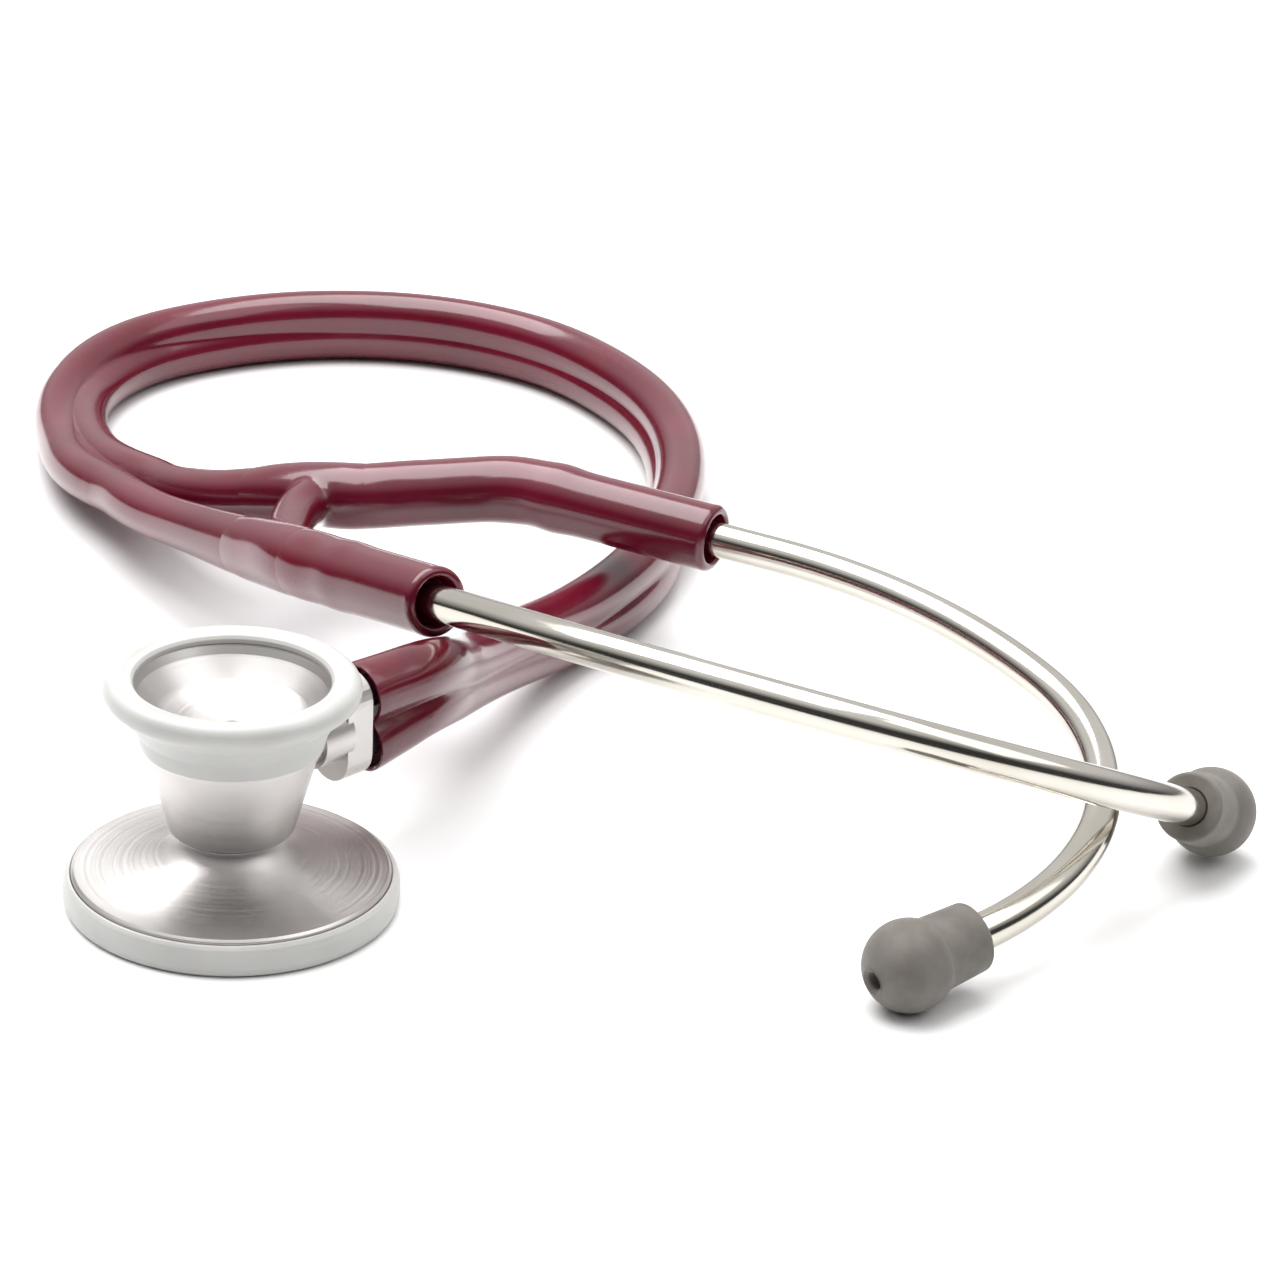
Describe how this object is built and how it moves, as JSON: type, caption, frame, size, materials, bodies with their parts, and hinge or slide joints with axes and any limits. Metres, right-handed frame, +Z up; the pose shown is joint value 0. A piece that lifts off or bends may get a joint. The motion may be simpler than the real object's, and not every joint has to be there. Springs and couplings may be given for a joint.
{
  "type": "stethoscope",
  "caption": "Cardiology stethoscope laid on a table: two-sided steel chestpiece, looped twin-bore tubing, sprung yoke, bent steel ear pipes and soft ear tips.",
  "frame": {"origin": "centre of the diaphragm's outer face, on the surface the stethoscope lies on", "axes": "+Z up through the bell, +Y from the chestpiece towards the far side of the tubing's loop, +X towards the ear tips"},
  "size_m": [0.1987, 0.2489, 0.0385],
  "materials": {
    "steel": "satin turned stainless steel",
    "pipe": "polished stainless steel tube",
    "hard_steel": "plain spring steel",
    "brass": "nickel-plated brass",
    "pvc": "glossy burgundy moulded PVC",
    "ring": "satin pale grey soft PVC",
    "membrane": "smooth glass-filled sheet",
    "seal": "black nitrile rubber",
    "silicone": "matt grey silicone rubber"
  },
  "bodies": {
    "tubing": {"valve_stem": "steel", "stem_seals": "seal", "tube_socket": "pvc", "main_tube": "pvc", "yoke": "pvc", "leaf_spring_bow": "hard_steel"},
    "chestpiece": {"chestpiece_body": "steel", "bell_ring": "ring", "diaphragm": "membrane", "diaphragm_gasket": "seal", "rim_ring": "ring", "detent_ball": "hard_steel", "detent_spring": "hard_steel", "detent_screw": "hard_steel"},
    "front_leg": {"leg_front": "pvc", "leaf_spring_front": "hard_steel"},
    "back_leg": {"leg_back": "pvc", "leaf_spring_back": "hard_steel"},
    "front_earpiece": {"ear_pipe_front": "pipe", "tip_insert_front": "brass", "ear_tip_front": "silicone"},
    "back_earpiece": {"ear_pipe_back": "pipe", "tip_insert_back": "brass", "ear_tip_back": "silicone"}
  },
  "joints": [
    {"name": "chestpiece_turn", "type": "hinge", "parent": "tubing", "child": "chestpiece", "pos_m": [0, 0, 0.021], "axis": [0.682, 0.7314, 0], "continuous": true},
    {"name": "front_leg_spread", "type": "hinge", "parent": "tubing", "child": "front_leg", "pos_m": [0.00401, 0.06889, 0.02275], "axis": [0.169, 0.5071, 0.8452], "range_deg": [-18, 0], "stiffness_Nm_per_rad": 1.2},
    {"name": "back_leg_spread", "type": "hinge", "parent": "tubing", "child": "back_leg", "pos_m": [0.01063, 0.10209, 0.02002], "axis": [0.1952, 0.0976, 0.9759], "range_deg": [0, 18], "stiffness_Nm_per_rad": 1.2},
    {"name": "front_pipe_turn", "type": "hinge", "parent": "front_leg", "child": "front_earpiece", "pos_m": [0.0266, 0.041, 0.0294], "axis": [0.6188, -0.7641, 0.1822], "range_deg": [0, 30]},
    {"name": "back_pipe_turn", "type": "hinge", "parent": "back_leg", "child": "back_earpiece", "pos_m": [0.068, 0.0888, 0.021], "axis": [0.8948, -0.4461, -0.0175], "range_deg": [0, 30]}
  ],
  "couplings": [
    {"joint": "back_leg_spread", "follows": "front_leg_spread", "ratio": -1}
  ]
}
